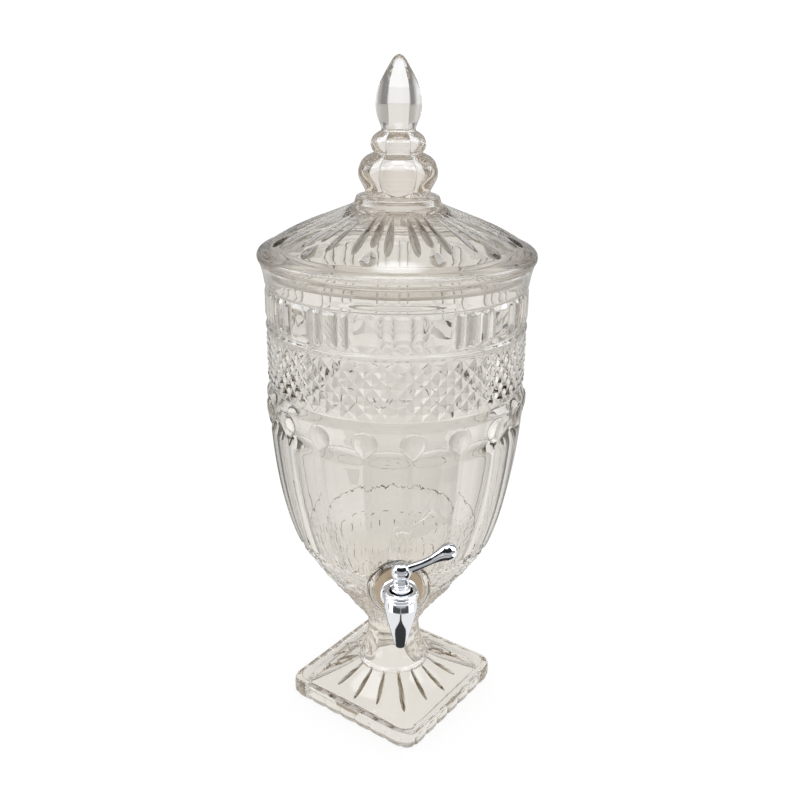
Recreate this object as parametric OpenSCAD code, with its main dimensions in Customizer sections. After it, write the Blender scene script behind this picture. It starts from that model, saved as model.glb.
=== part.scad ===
// Footed pressed-glass drink dispenser with a lift-off lid and a quarter-turn lever tap.
// Millimetres. +Z is up, the origin is on the bowl's axis at the table, the tap looks along -Y.

/* [Foot] */
// Side of the square foot, flat to flat
foot_side = 121; // [110:1:124]
// Radius of the foot's rounded corners
foot_corner = 11; // [8:1:16]
// Height of the foot's upright edge
foot_edge = 14; // [11:0.5:17]
// Turn of the foot's corner away from the tap's direction, in degrees
foot_turn = 5.8; // [0:0.1:12]

/* [Bowl] */
// Height of the flat rim that carries the lid
rim_z = 354; // [353:0.5:356]
// Inner radius of the mouth
mouth_r = 87; // [86.5:0.1:88]

/* [Lid] */
// Largest radius of the lid's rounded rim
lid_r = 96.2; // [95.6:0.1:98]
// Depth of the ring that keeps the lid centred in the mouth
lip_depth = 7.5; // [5:0.5:10]
// Height of the tip of the finial
tip_z = 486; // [482:1:490]

/* [Tap] */
// Height of the shank's axis above the table
shank_z = 135.5; // [135:0.1:136]
// Distance of the barrel's upright axis in front of the bowl's axis
barrel_y = 99; // [98.5:0.1:100]
// Radius of the hole through the glass
hole_r = 8.5; // [8.3:0.1:8.8]
// Reach of the lever, from the hub's axis to the end ball
lever_reach = 30.5; // [28:0.5:34]
// Radius of the ball at the lever's end
ball_r = 6.2; // [5.5:0.1:6.8]

/* [Hidden] */
$fn = 96;
eps = 1;

glass_tint = [0.84, 0.81, 0.76, 0.45];
chrome_tint = [0.80, 0.81, 0.83];
seal_tint = [0.66, 0.54, 0.40];
plug_tint = [0.92, 0.92, 0.90];
nut_tint = [0.92, 0.92, 0.90];
dark_tint = [0.16, 0.16, 0.17];

// Height of the seam where bowl and foot were joined hot
seam_z = 62;
// Radius of the stem at the seam
seam_r = 20;
// Hollow under the foot: reach of its corners, height of its upright wall and of its top inside the stem
hollow_r = 70.6;
hollow_wall = 6.5;
hollow_top = 54;
// Room between the lid's seat and the rim
seat_gap = 0.2;
// Height where lid and finial were joined hot
collar_z = 397;

// Tap stations, measured forward from the bowl's axis
slab_in = 61;
recess_y = 72.5;
boss_y = 75;
gasket_t = 2;
flange_back = recess_y + gasket_t;
flange_front = 82.5;
boss_r = 22.5;
recess_r = 17.3;
pocket_r = 16.5;
shank_r = 8;
shank_bore = 5;
shank_in = 45;
shank_out = 88.5;
socket_r = shank_r + 0.05;

// Heights along the barrel
spout_z = 106.5;
plug_low = 126.5;
shoulder_z = 145.5;
neck_z = 148;
bonnet_z = 151.3;
plug_r = 7.45;
plug_bore = 7.5;
stem_r = 4;
port_r = 3.5;
spout_bore = 2.5;
hub_low = 149.8;
hub_z = 164.8;
hub_r = 6.8;
screw_z = 156;

// Point at t on the curve with control points p[0] to p[3]
function curve_at(p, t) = pow(1 - t, 3) * p[0] + 3 * t * pow(1 - t, 2) * p[1]
                        + 3 * t * t * (1 - t) * p[2] + pow(t, 3) * p[3];
// Points along that curve, without its last one
function curve(p, n) = [for (i = [0 : n - 1]) curve_at(p, i / n)];

// Outer line of the bowl, radius and height, from the seam to the rim
bowl_outer = concat(
    curve([[seam_r, seam_z], [21, 71], [57, 112], [71.5, 140]], 10),
    curve([[71.5, 140], [83, 163], [91, 205], [92.5, 250]], 10),
    [[92.5, 250], [92.8, 256], [92.6, 260], [91.4, 264], [89.8, 267], [91.5, 269], [91.5, 306], [90.8, 308],
     [91.6, 310], [90.8, 312], [91.6, 314], [91.6, 335], [90.8, 337.5], [91.6, 340]],
    curve([[91.6, 340], [92, 346], [93, 351], [94.3, rim_z - 0.8]], 4),
    [[94.3, rim_z - 0.8], [93.6, rim_z]]);
// Inner line of the bowl, from the mouth down to the floor
bowl_inner = concat(
    [[mouth_r + 0.8, rim_z], [mouth_r, rim_z - 1], [86, 250]],
    [for (i = [1 : 9]) curve_at([[86, 250], [84.5, 205], [76, 163], [64.5, 140]], i / 10)],
    curve([[64.5, 140], [57, 118], [36, 91], [10, 88]], 10),
    [[10, 88], [0, 87.5]]);

// A cylinder lying along Y, from y = -a (front) to y = -b (back), on the shank's axis
module along_y(r, front, back) {
    translate([0, -front, shank_z]) rotate([-90, 0, 0]) cylinder(r = r, h = front - back);
}

// An upright solid of revolution about the barrel's axis
module on_barrel() {
    translate([0, -barrel_y, 0]) children();
}

// A ring about the barrel's axis
module barrel_ring(r_out, r_in, z0, z1) {
    on_barrel() difference() {
        translate([0, 0, z0]) cylinder(r = r_out, h = z1 - z0);
        translate([0, 0, z0 - eps]) cylinder(r = r_in, h = z1 - z0 + 2 * eps);
    }
}

// A flat ring on the shank's axis
module shank_ring(r_out, r_in, front, back) {
    difference() {
        along_y(r_out, front, back);
        along_y(r_in, front + eps, back - eps);
    }
}

// A round bar that changes radius from one point to another
module bar(a, b, ra, rb) {
    d = b - a;
    l = norm(d);
    translate(a) rotate([0, acos(d[2] / l), atan2(d[1], d[0])]) cylinder(r1 = ra, r2 = rb, h = l);
}

// Square with rounded corners, built from plain shapes
module rounded_square(side, r) {
    square([side, side - 2 * r], center = true);
    square([side - 2 * r, side], center = true);
    for (x = [-1, 1], y = [-1, 1]) translate([x * (side / 2 - r), y * (side / 2 - r)]) circle(r);
}

module bowl() color(glass_tint) difference() {
    union() {
        rotate_extrude() polygon(concat([[0, seam_z]], bowl_outer, bowl_inner));
        along_y(boss_r, boss_y, slab_in);
    }
    along_y(recess_r, boss_y + 12, recess_y);
    along_y(pocket_r, slab_in, slab_in - 30);
    along_y(hole_r, boss_y + 5, slab_in - 5);
}

module pedestal_foot() color(glass_tint) difference() {
    union() {
        rotate([0, 0, foot_turn + 45]) {
            linear_extrude(foot_edge) rounded_square(foot_side, foot_corner);
        }
        rotate_extrude() polygon(concat(
            [[0, foot_edge - 3], [54, foot_edge - 3], [54, foot_edge], [29, 28.5], [29, 30.5]],
            curve([[28, 31.5], [23, 36], [20.5, 46], [seam_r, seam_z]], 8),
            [[seam_r, seam_z], [0, seam_z]]));
    }
    // Pressed hollow underneath, square as the foot, and running up into the stem
    rotate([0, 0, foot_turn]) translate([0, 0, -eps]) cylinder(r = hollow_r, h = hollow_wall + eps, $fn = 4);
    rotate_extrude() polygon([[0, hollow_wall - eps], [47, hollow_wall - eps], [47, hollow_wall], [20, 24.5], [15.5, 29.5], [13, 36],
        [11.6, 43], [10, 49], [7.5, 52.5], [3, hollow_top], [0, hollow_top]]);
}

module lid() color(glass_tint) rotate_extrude() polygon([
    [mouth_r - 7, rim_z - lip_depth], [mouth_r - 2.2, rim_z - lip_depth], [mouth_r - 2, rim_z + seat_gap],
    [93.8, rim_z + seat_gap], [lid_r - 0.6, 356], [lid_r, 358], [lid_r - 0.6, 360.2], [94, 361.8],
    [91.5, 363], [79, 370.6], [66, 377], [52, 382.6], [36, 388.8], [30, 391.4], [29.7, 392], [28, collar_z], [0, collar_z],
    [0, 387], [31, 384.5], [56, 375.5], [mouth_r - 7, 361.5]]);

module lid_finial() color(glass_tint) union() {
    translate([0, 0, collar_z]) cylinder(r = 17, h = 28);
    for (i = [0 : 5]) rotate([0, 0, 60 * i]) {
        translate([14.4, 0, 410.2]) sphere(r = 12);
        translate([11.8, 0, 431]) sphere(r = 6.3);
    }
    translate([0, 0, 424]) cylinder(r = 12, h = 15);
    rotate_extrude() polygon(concat([[0, 437]],
        curve([[10.5, 437], [21, 451], [16, 470], [1.2, tip_z]], 14), [[1.2, tip_z], [0, tip_z]]));
}

module tap_body() color(chrome_tint) difference() {
    union() {
        on_barrel() rotate_extrude() polygon([[0, spout_z], [3.4, spout_z], [3.7, spout_z + 0.6], [4, 110],
            [4.9, 113.5], [6.8, 119.5], [8.6, 126.5], [11.3, 136], [11.1, 145], [10.8, shoulder_z],
            [9, shoulder_z], [9, neck_z], [0, neck_z]]);
        along_y(9.5, barrel_y - 3, flange_front);
    }
    // Bore for the turning plug, and the spout's bore below it
    on_barrel() translate([0, 0, plug_low]) cylinder(r = plug_bore, h = 40);
    on_barrel() translate([0, 0, spout_z - eps]) cylinder(r = spout_bore, h = 40);
    // Threaded socket for the shank, and the passage from it to the plug
    along_y(socket_r, shank_out, flange_front - eps);
    along_y(4, barrel_y, shank_out - eps);
}

module escutcheon() color(chrome_tint) difference() {
    translate([0, 0, shank_z]) rotate([90, 0, 0]) rotate_extrude() polygon([[0, flange_back], [11.5, flange_back],
        [11.5, 77], [12.8, 78], [13.5, 79.3], [13.5, 80.6], [12.6, 81.8], [11, flange_front], [0, flange_front]]);
    along_y(socket_r, flange_front + eps, flange_back - eps);
}

module inlet_shank() color(chrome_tint) shank_ring(shank_r, shank_bore, shank_out, shank_in);

module outer_gasket() color(seal_tint) shank_ring(17, socket_r + 0.1, flange_back, recess_y);

module inner_gasket() color(seal_tint) shank_ring(15, socket_r + 0.1, slab_in, slab_in - 2.5);

module inner_washer() color(chrome_tint) shank_ring(13.5, socket_r + 0.2, slab_in - 2.5, slab_in - 4);

module lock_nut() color(nut_tint) difference() {
    translate([0, -(slab_in - 4), shank_z]) rotate([-90, 0, 0]) {
        cylinder(r = 13.2, h = 6.5, $fn = 6);
        cylinder(r = 12.5, h = 1);
    }
    along_y(socket_r, slab_in, slab_in - 20);
}

module tap_bonnet() color(chrome_tint) on_barrel() rotate_extrude() polygon([
    [9.05, shoulder_z + 0.1], [10.8, shoulder_z + 0.1], [11.1, 146], [11.1, 148], [10.6, 148.5], [10.6, 148.8],
    [11.4, 149.2], [11.65, 149.8], [11.5, 150.7], [10.6, bonnet_z], [8.4, bonnet_z], [7.8, bonnet_z - 0.6], [7.8, 149.4], [stem_r + 0.3, 149.4],
    [stem_r + 0.3, neck_z + 0.05], [9.05, neck_z + 0.05]]);

module valve_plug() color(plug_tint) difference() {
    on_barrel() union() {
        translate([0, 0, plug_low + 0.3]) cylinder(r = plug_r, h = 147 - plug_low - 0.3);
        translate([0, 0, 140]) cylinder(r = stem_r, h = 163 - 140);
    }
    on_barrel() {
        // L-shaped port: up from the spout, then out to the side
        translate([0, 0, plug_low - eps]) cylinder(r = port_r, h = shank_z - plug_low + eps);
        translate([0, 0, shank_z]) rotate([0, -90, 0]) cylinder(r = port_r, h = 12);
        // Grooves for the two rings
        for (z = [129, 142.5]) translate([0, 0, z - 1]) difference() {
            cylinder(r = plug_r + 1, h = 2);
            translate([0, 0, -eps]) cylinder(r = 5.6, h = 2 + 2 * eps);
        }
        // Flat on the stem for the grub screw
        translate([-6, 3.5, 153]) cube([12, 3, 12]);
    }
}

module plug_o_rings() color(dark_tint) for (z = [129, 142.5])
    on_barrel() translate([0, 0, z]) rotate_extrude() translate([6.55, 0]) circle(r = 0.9);

module thrust_washer() color(nut_tint) barrel_ring(7.4, stem_r + 0.3, 147.1, neck_z);

module lever_handle() color(chrome_tint) difference() {
    on_barrel() union() {
        rotate_extrude() polygon([[0, hub_low], [6.2, hub_low], [6.6, 150.4], [6.6, 151.8], [6.1, 152.6],
            [5, 153.2], [5, 153.8], [5.6, 154.3], [5.6, 158], [5.2, 158.8], [5.2, 161], [0, 162]]);
        translate([0, 0, hub_z]) sphere(r = hub_r);
        bar([4, 0, hub_z + 1.8], [15, 0, hub_z + 6], 3.8, 3.1);
        translate([15, 0, hub_z + 6]) sphere(r = 3.35);
        bar([15, 0, hub_z + 6], [24, 0, hub_z + 11], 3.1, 3.7);
        translate([24, 0, hub_z + 11]) sphere(r = 3.95);
        bar([24, 0, hub_z + 11], [lever_reach, 0, hub_z + 14.6], 3.7, 5.6);
        translate([lever_reach, 0, hub_z + 14.6]) sphere(r = ball_r);
    }
    on_barrel() translate([0, 0, hub_low - eps]) cylinder(r = stem_r + 0.05, h = 163.2 - hub_low + eps);
    on_barrel() translate([0, 0, screw_z]) rotate([-90, 0, 0]) cylinder(r = 1.55, h = 12);
}

module lever_set_screw() color(dark_tint) on_barrel() difference() {
    translate([0, 3.55, screw_z]) rotate([-90, 0, 0]) cylinder(r = 1.5, h = 1.9);
    translate([0, 4.7, screw_z]) rotate([-90, 0, 0]) cylinder(r = 0.8, h = 3, $fn = 6);
}

bowl();
pedestal_foot();
lid();
lid_finial();
tap_body();
escutcheon();
inlet_shank();
outer_gasket();
inner_gasket();
inner_washer();
lock_nut();
tap_bonnet();
valve_plug();
plug_o_rings();
thrust_washer();
lever_handle();
lever_set_screw();
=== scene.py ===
import math

import bpy
import numpy as np
from mathutils import Matrix, Quaternion, Vector


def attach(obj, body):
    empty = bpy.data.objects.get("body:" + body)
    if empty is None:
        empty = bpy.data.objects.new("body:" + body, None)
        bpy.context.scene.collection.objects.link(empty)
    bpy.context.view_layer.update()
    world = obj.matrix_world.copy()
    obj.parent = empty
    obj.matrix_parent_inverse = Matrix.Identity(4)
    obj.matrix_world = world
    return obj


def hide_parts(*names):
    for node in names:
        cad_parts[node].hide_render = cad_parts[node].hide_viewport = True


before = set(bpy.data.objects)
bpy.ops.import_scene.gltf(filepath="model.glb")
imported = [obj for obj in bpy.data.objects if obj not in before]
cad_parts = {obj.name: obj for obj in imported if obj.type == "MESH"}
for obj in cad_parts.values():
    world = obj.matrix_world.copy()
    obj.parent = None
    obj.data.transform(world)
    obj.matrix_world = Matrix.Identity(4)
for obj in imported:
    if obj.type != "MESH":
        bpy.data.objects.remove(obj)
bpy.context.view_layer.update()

scene = bpy.context.scene
MM = 0.001


# ---------------------------------------------------------------- mesh tools
def smooth(x, a, b):
    """0 below a, 1 above b, an S-curve between."""
    t = np.clip((x - a) / (b - a), 0.0, 1.0)
    return t * t * (3.0 - 2.0 * t)


def bez(p0, p1, p2, p3, n, last=True):
    """n points of a cubic curve, evenly spaced along it."""
    t = np.linspace(0, 1, 400)[:, None]
    p = ((1 - t) ** 3 * np.array(p0, float) + 3 * (1 - t) ** 2 * t * np.array(p1, float)
         + 3 * (1 - t) * t * t * np.array(p2, float) + t ** 3 * np.array(p3, float))
    return even(p, n, last)


def even(p, n, last=True):
    """n points evenly spaced along the polyline p."""
    p = np.asarray(p, float)
    s = np.concatenate([[0], np.cumsum(np.hypot(*np.diff(p, axis=0).T))])
    q = np.linspace(0, s[-1], n if last else n + 1)
    if not last:
        q = q[:-1]
    return np.column_stack([np.interp(q, s, p[:, 0]), np.interp(q, s, p[:, 1])])


def rounded(pts, n):
    """n points along a smooth curve through pts (Catmull-Rom)."""
    p = np.asarray(pts, float)
    e = np.vstack([2 * p[0] - p[1], p, 2 * p[-1] - p[-2]])
    out = []
    for i in range(1, len(e) - 2):
        t = np.linspace(0, 1, 40, endpoint=False)[:, None]
        a, b, c, d = e[i - 1], e[i], e[i + 1], e[i + 2]
        out.append(0.5 * (2 * b + (c - a) * t + (2 * a - 5 * b + 4 * c - d) * t ** 2
                          + (3 * b - a - 3 * c + d) * t ** 3))
    out.append(p[-1:])
    return even(np.vstack(out), n)


def fillet(pts, r=0.35, n=4):
    """The polyline with each inner corner rounded over a length r."""
    p = np.asarray(pts, float)
    out = [p[0]]
    for a, b, c in zip(p[:-2], p[1:-1], p[2:]):
        la, lc = np.hypot(*(a - b)), np.hypot(*(c - b))
        ra = min(r, 0.45 * la, 0.45 * lc)
        u, v = b + (a - b) / la * ra, b + (c - b) / lc * ra
        for t in np.linspace(0, 1, n + 1):
            out.append((1 - t) ** 2 * u + 2 * t * (1 - t) * b + t * t * v)
    out.append(p[-1])
    return np.array(out)


def normals2(p):
    """Outward normals (r, z) of a profile that runs with the solid on its left going up."""
    d = np.gradient(p, axis=0)
    d /= np.maximum(np.hypot(d[:, 0], d[:, 1]), 1e-9)[:, None]
    return np.column_stack([d[:, 1], -d[:, 0]])


def mesh_object(name, verts, quads, tris, sharp_deg=None):
    """A mesh object from points in millimetres."""
    me = bpy.data.meshes.new(name)
    verts = np.asarray(verts, np.float32) * np.float32(MM)
    quads = np.asarray(quads, np.int32).reshape(-1, 4)
    tris = np.asarray(tris, np.int32).reshape(-1, 3)
    loops = np.concatenate([quads.ravel(), tris.ravel()])
    starts = np.concatenate([np.arange(len(quads)) * 4, len(quads) * 4 + np.arange(len(tris)) * 3]).astype(np.int32)
    me.vertices.add(len(verts))
    me.vertices.foreach_set("co", verts.ravel())
    me.loops.add(len(loops))
    me.loops.foreach_set("vertex_index", loops)
    me.polygons.add(len(starts))
    me.polygons.foreach_set("loop_start", starts)
    me.update(calc_edges=True)
    me.validate()
    me.shade_smooth()
    if sharp_deg:
        me.set_sharp_from_angle(angle=math.radians(sharp_deg))
    ob = bpy.data.objects.new(name, me)
    scene.collection.objects.link(ob)
    return ob


def revolve(name, rows, first_pole=None, last_pole=None, flip=None, sharp_deg=None):
    """rows: (n rows, n columns, 3), each row a closed ring. A pole closes an end with one point.
    flip: True for the cells that are split along their other diagonal, as two triangles, False for
    those split along the first one, in an array of cells with -1 where a cell stays whole."""
    nr, nc, _ = rows.shape
    verts = rows.reshape(-1, 3)
    i, j = np.meshgrid(np.arange(nr - 1), np.arange(nc), indexing="ij")
    k = (j + 1) % nc
    a, b, c, d = i * nc + j, i * nc + k, (i + 1) * nc + k, (i + 1) * nc + j
    tris = []
    if flip is None:
        quads = np.stack([a, b, c, d], -1).reshape(-1, 4)
    else:
        w = flip < 0
        quads = np.stack([a[w], b[w], c[w], d[w]], -1)
        w = flip == 0
        tris += [np.stack([a[w], b[w], c[w]], -1), np.stack([a[w], c[w], d[w]], -1)]
        w = flip == 1
        tris += [np.stack([a[w], b[w], d[w]], -1), np.stack([b[w], c[w], d[w]], -1)]
    j = np.arange(nc)
    k = (j + 1) % nc
    extra = []
    if first_pole is not None:
        n = len(verts) + len(extra)
        extra.append(first_pole)
        tris.append(np.stack([np.full(nc, n), k, j], -1))
    if last_pole is not None:
        n = len(verts) + len(extra)
        extra.append(last_pole)
        o = (nr - 1) * nc
        tris.append(np.stack([np.full(nc, n), o + j, o + k], -1))
    if extra:
        verts = np.vstack([verts, np.array(extra, float)])
    tris = np.vstack(tris) if tris else np.zeros((0, 3), int)
    return mesh_object(name, verts, quads, tris, sharp_deg)


def ring_points(r, az, z):
    """Points from radius, azimuth in degrees (0 at the tap, towards +X) and height, all (rows, columns)."""
    a = np.radians(az)
    r, a, z = np.broadcast_arrays(r, a, z)
    return np.stack([r * np.sin(a), -r * np.cos(a), z], -1)


# ---------------------------------------------------------------- vessel: bowl and foot, one piece of glass
NC = 540                                   # columns: 10 to a diamond, 30 to a flute, 45 to a rib unit
PITCH = 360.0 / 54                         # one diamond
AZ = 4.5 + np.arange(NC) * (360.0 / NC)    # a flute ridge and a diamond's middle at 4.5 degrees
FOOT_TURN = 5.8


def ripple(az, s):
    """Faint waves that the plunger leaves on the inner faces, in millimetres."""
    a = np.radians(az)
    return (np.sin(9 * a + 0.21 * s) * np.sin(0.33 * s + 2 * np.sin(5 * a)) + 0.6 * np.sin(31 * a - 0.17 * s + 1.0) * np.sin(0.55 * s + 3 * a)
            + 0.35 * np.sin(53 * a + 0.43 * s + 2 * np.sin(0.1 * s)))


def square_reach(az, half, corner):
    """Distance from the axis to a rounded square's outline, a corner at FOOT_TURN."""
    d = np.radians((az - FOOT_TURN) % 90.0 - 45.0)
    side = half / np.cos(d)
    m = half - corner
    dm = m * (np.cos(np.abs(d)) + np.sin(np.abs(d)))
    arc = dm + np.sqrt(np.maximum(dm * dm - (2 * m * m - corner * corner), 0.0))
    return np.where(np.tan(np.abs(d)) * half <= m, side, arc)


FOOT_HALF = 58.9


def foot_top(r, edge):
    """Height of the foot's low pyramid at radius r, where its border is at radius edge."""
    t = np.clip((edge - r) / (edge - 28.6), 0, 1.05)
    return 13.9 + 15.0 * t ** 1.22


def foot_rows():
    az = AZ[None, :]
    rows = []

    def add(r, z):
        r, z = np.broadcast_arrays(np.asarray(r, float), np.asarray(z, float))
        rows.append(ring_points(np.broadcast_to(r, (1, NC)), az, np.broadcast_to(z, (1, NC))))

    # pressed hollow in the underside, square as the foot, running level with the top
    inner = square_reach(az, 50.0, 7.0)
    for r, z in rounded([(3.0, 54.0), (7.5, 52.6), (10.2, 49.0), (11.6, 43.0), (13.0, 36.0), (15.6, 29.5), (19.5, 24.6)], 22):
        add(r, z)
    for t in np.linspace(0.0, 1.0, 22):
        r = 21.0 + (inner - 21.0 - 1.0) * t
        add(r, 23.4 - 18.2 * t ** 1.08)
    for off, z in ((-0.45, 4.8), (-0.1, 4.2), (0.0, 3.2), (0.0, 1.6), (0.15, 0.7), (0.6, 0.15), (1.2, 0.0)):
        add(inner + off, z)
    # side: eight convex flutes to a side, with arched tops under a plain border
    d = np.radians((az - FOOT_TURN) % 90.0 - 45.0)
    along = np.clip(np.tan(d) * 60.4, -60.4, 60.4)
    u = (along / 15.1 + 0.5) % 1.0
    flute = np.sqrt(np.clip(1.0 - (2 * u - 1) ** 2, 0, 1))
    reach = square_reach(az, FOOT_HALF, 11.0)
    for z, bulge, inset in ((0, 0.0, 2.4), (0.3, 0.6, 1.2), (0.9, 0.9, 0.4), (1.8, 1.0, 0.0)):
        add(reach - inset + 1.9 * bulge * flute - 0.35, z)
    for z in np.linspace(2.6, 11.0, 17):
        top = 7.0 + 3.0 * flute
        keep = 1.0 - smooth(z, top - 0.5, top + 0.5)
        add(reach - 0.35 + 1.9 * flute * keep + 1.5 * (1 - keep), z)
    for inset, z in ((0.0, 11.5), (0.25, 12.4), (0.9, 13.2), (1.9, 13.8), (3.2, 14.1), (5.4, 14.2)):
        add(reach + 1.2 - inset, z)
    # top: a low pyramid up to the stem
    edge = reach + 1.2 - 5.9
    add(edge, 13.7)
    edge = edge - 0.5
    for t in np.linspace(0.0, 1.0, 40):
        r = edge + (28.6 - edge) * t
        add(r, foot_top(r, edge))
    # ring under the stem, and the stem with twelve faint flutes
    stem = rounded([(28.4, 29.4), (28.9, 30.4), (28.3, 31.6), (26.6, 33.0), (24.4, 38.0), (22.4, 45.0),
                    (20.8, 53.0), (20.1, 59.0), (20.2, 62.0)], 34)
    for r, z in stem:
        w = smooth(z, 32.5, 40.0) * (1 - smooth(z, 60.0, 66.0))
        add(r - 0.3 * w * (1 - np.abs(np.cos(np.radians(6 * (az - FOOT_TURN))))), z)
    return np.concatenate(rows)


def leaf_relief(az, z):
    """Overlapping leaves below the flutes, in rows that are half a leaf out of step."""
    tips = (144.6, 125.5, 107.5, 91.0, 76.0)
    arch = (1.8, 9.0, 9.0, 8.5, 8.0)
    best = np.zeros(np.broadcast(az, z).shape)
    inside = np.zeros_like(best, bool)
    for n, (tip, h) in enumerate(zip(tips, arch)):
        off = 10.0 if n % 2 == 0 else 0.0
        q = ((az - 4.5 - off + 10.0) % 20.0 - 10.0) / 10.0
        top = tip - h * (1.0 - np.sqrt(np.clip(1.0 - np.abs(q) ** 2.0, 0, 1)))
        if n == 0:
            top = top + 0.5 * np.sin(np.radians(az) * 47 + 2 * np.sin(np.radians(az) * 11))
        u = top - z
        here = u > 0
        nxt = tips[n + 1] if n + 1 < len(tips) else 62.0
        span = tip - nxt
        fall = np.clip(u / span, 0, 1.5)
        step = 1.0 - np.exp(-u / (0.5 if n == 0 else 2.2))
        which = np.floor((az - 4.5 - off + 10.0) / 20.0) + 7.0 * n
        own = 0.3 * np.sin(which * 12.99)
        edge = 1.7 if n == 0 else 1.3
        d = (-edge + edge * step) + own * smooth(u, 0.0, 3.0) - 1.5 * fall - 1.1 * q ** 2 - 0.3 * np.exp(-(q / 0.14) ** 2) * smooth(fall, 0.1, 0.4)
        # veins that lean out from the middle
        d = d - 0.12 * np.sin(np.pi * (3.0 * np.abs(q) + 0.16 * u)) ** 2 * smooth(u, 0.6, 2.5)
        best = np.where(here, d, best)
        inside |= here
    # hammered surface
    a = np.radians(az)
    best = best + 0.13 * (np.sin(41 * a + 0.8 * z + 2 * np.sin(7 * a)) + np.sin(29 * a - 0.95 * z + 2.0) + np.sin(53 * a + 1.2 * z + 3 * np.sin(0.2 * z + 5 * a))) * inside
    best = best + 0.06 * np.sin(83 * a + 1.5 * z + 3 * np.sin(0.31 * z + 9 * a)) * np.sin(61 * a - 1.3 * z + 2 * np.sin(0.23 * z - 7 * a)) * inside
    fade = smooth(z, 63.0, 70.0)
    return best * fade, inside


def flute_relief(az, z):
    """Eighteen shallow flutes with arched tops, between narrow raised ridges."""
    q = 2 * ((az - 4.5) % 20.0) / 20.0 - 1
    scoop = np.clip(1.0 - q ** 2, 0, 1)
    off = np.maximum(16.0 * (1 - np.abs(q)) - 0.5, 0.0)      # millimetres in from the ridge
    top = 241.0 + 7.4 * np.sqrt(scoop)
    depth = 0.7 * (1.0 - np.exp(-off / 3.2)) + (0.5 + 1.5 * smooth(z, 234.0, 243.0)) * scoop
    end = 1.0 - np.clip((top - z) / 6.5, 0, 1)
    return -depth * np.sqrt(np.clip(1.0 - end ** 2, 0, 1))


def diamond_relief(az, z, top_z=301.3, step=5.62, rows=6):
    u = (az - 4.5) / PITCH
    v = (z - top_z) / (2 * step)
    p, q = u + v, u - v
    P, Q = np.round(p), np.round(q)
    fp, fq = np.abs(p - P), np.abs(q - Q)
    row = (P - Q) / 2
    h = 1.0 - 2 * np.maximum(fp, fq)
    h = np.where((row > 0.25) | (row < -(rows - 1) / 2 - 0.25), 0.0, h)
    return -1.7 * (1 - h), fp > fq


RIB_EDGES = (-3.85, 3.05, 7.8, 21.4, 26.15)   # middle rib, narrow, wide tablet, narrow, in each 30 degrees


def rib_relief(az, z, low=313.0, high=337.4):
    """Three ribs and a wide tablet, twelve times round."""
    a = (az + 3.85) % 30.0 - 3.85
    deep = 1.7
    d = np.full(np.broadcast(az, z).shape, -deep)
    for n in range(4):
        lo, hi = RIB_EDGES[n], RIB_EDGES[n + 1]
        mid, hw = (lo + hi) / 2, (hi - lo) / 2
        x = np.abs(a - mid) * 1.6          # millimetres at this radius
        w = hw * 1.6
        edge = w - x                       # distance in from the side
        end = np.minimum(0.65 * (z - low), high - z)
        if n == 2:
            side = np.clip(edge / 2.6, 0, 1)
            cap = np.clip(end / 3.0, 0, 1)
            dome = (1 - np.clip(x / w, 0, 1) ** 2) * (1 - np.clip((z - (low + high) / 2) / ((high - low) / 2), -1, 1) ** 2)
            form = -deep + 0.68 * deep * np.minimum(side, cap) + 0.32 * deep * dome
        else:
            form = -deep + deep * np.minimum(np.clip(1 - (x / w) ** 2, 0, 1) ** 0.75, np.clip((end - 0.25 * x) / 3.4, 0, 1) ** 0.8)
        d = np.where((x <= w), form, d)
    return np.where((z > low) & (z < high), d, -deep)


def shoulder(z):
    """Radius of the wall behind the teardrops and of the sloping shoulder above them."""
    return np.interp(z, [250, 254, 258, 260.5, 262, 263.5, 265.5, 267], [91.0, 91.4, 92.0, 92.3, 92.1, 91.6, 90.7, 90.0])


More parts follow.
